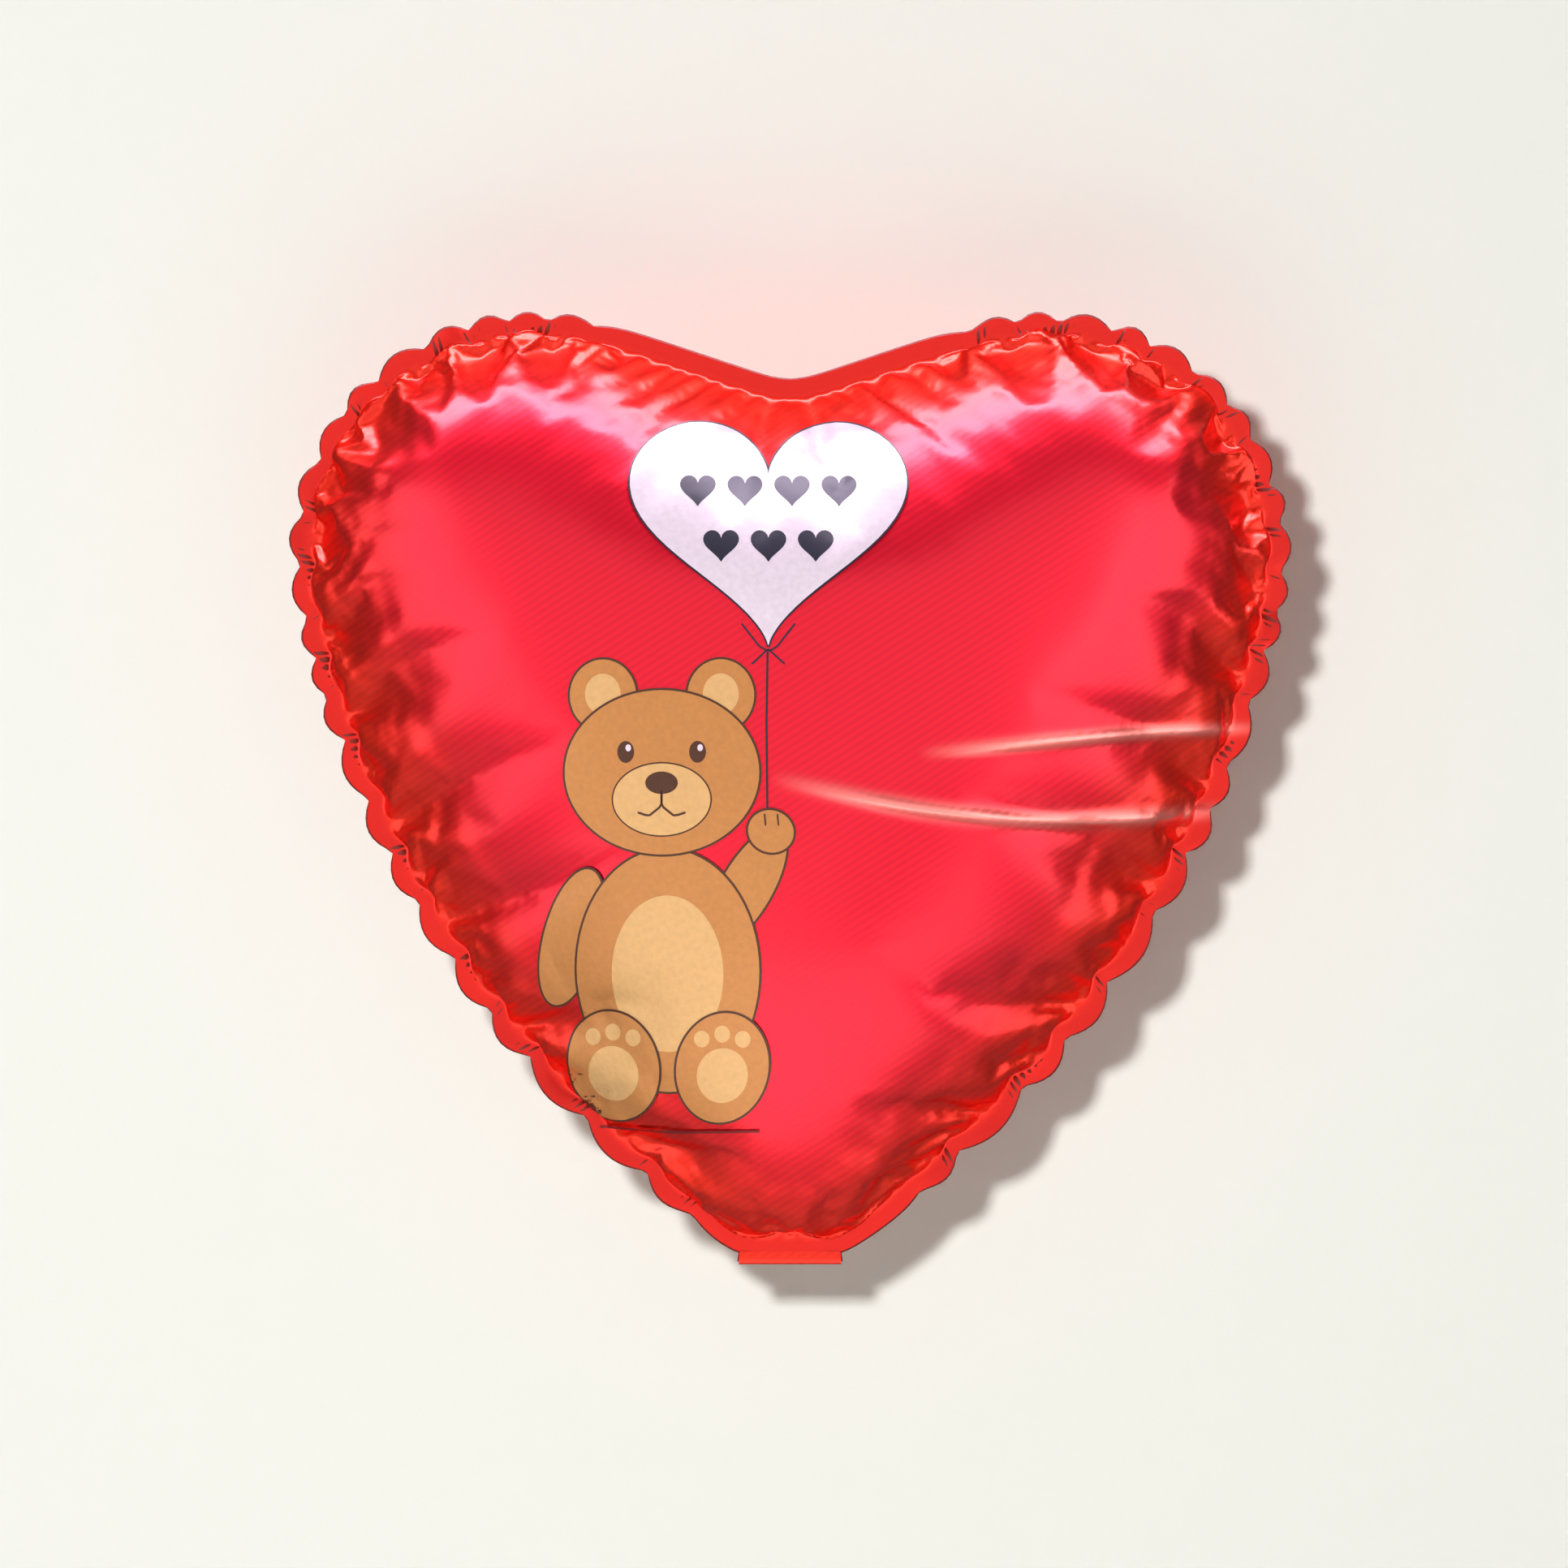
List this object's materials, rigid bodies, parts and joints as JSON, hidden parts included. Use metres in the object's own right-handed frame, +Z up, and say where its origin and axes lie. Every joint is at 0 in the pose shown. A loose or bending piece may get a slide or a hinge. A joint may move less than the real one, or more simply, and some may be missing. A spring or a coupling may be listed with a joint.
{
  "type": "foil balloon",
  "caption": "Heart-shaped foil balloon, inflated, with a printed front, a ruffled heat-sealed edge, a self-sealing valve and a tail folded up behind its point.",
  "frame": {"origin": "the middle of the crease at the point of the heart, where the tail folds and a tether is tied: X = 0 is the middle, Y = 0 is the plane of the edge seal, Z = 0 is the lowest edge of the folded tail", "axes": "+X to the right seen from the front, -Y towards the front (the printed side), +Z up, towards the notch"},
  "size_m": [0.4, 0.1576, 0.38],
  "materials": {
    "front_film": "red lacquered metallised film, glossy",
    "back_film": "red lacquered metallised film, glossy",
    "weld_lining": "melted polyethylene lining, satin",
    "valve_strip": "translucent polyethylene, satin",
    "release_ink": "matt heat-proof ink",
    "sealing_gel": "tacky clear coating"
  },
  "bodies": {
    "balloon": {"front_panel": "front_film", "back_panel": "back_film", "edge_weld": "weld_lining", "valve_front_strip": "valve_strip", "valve_back_strip": "valve_strip", "valve_release_patch": "release_ink", "valve_sealing_gel": "sealing_gel"},
    "tail": {"tail_front_film": "front_film", "tail_back_film": "back_film", "tail_weld": "weld_lining", "valve_mouth_front": "valve_strip", "valve_mouth_back": "valve_strip"}
  },
  "joints": [
    {"name": "tail_fold", "type": "hinge", "parent": "balloon", "child": "tail", "pos_m": [0, 0, 0.00003], "axis": [-1, 0, 0], "range_deg": [0, 134]}
  ]
}
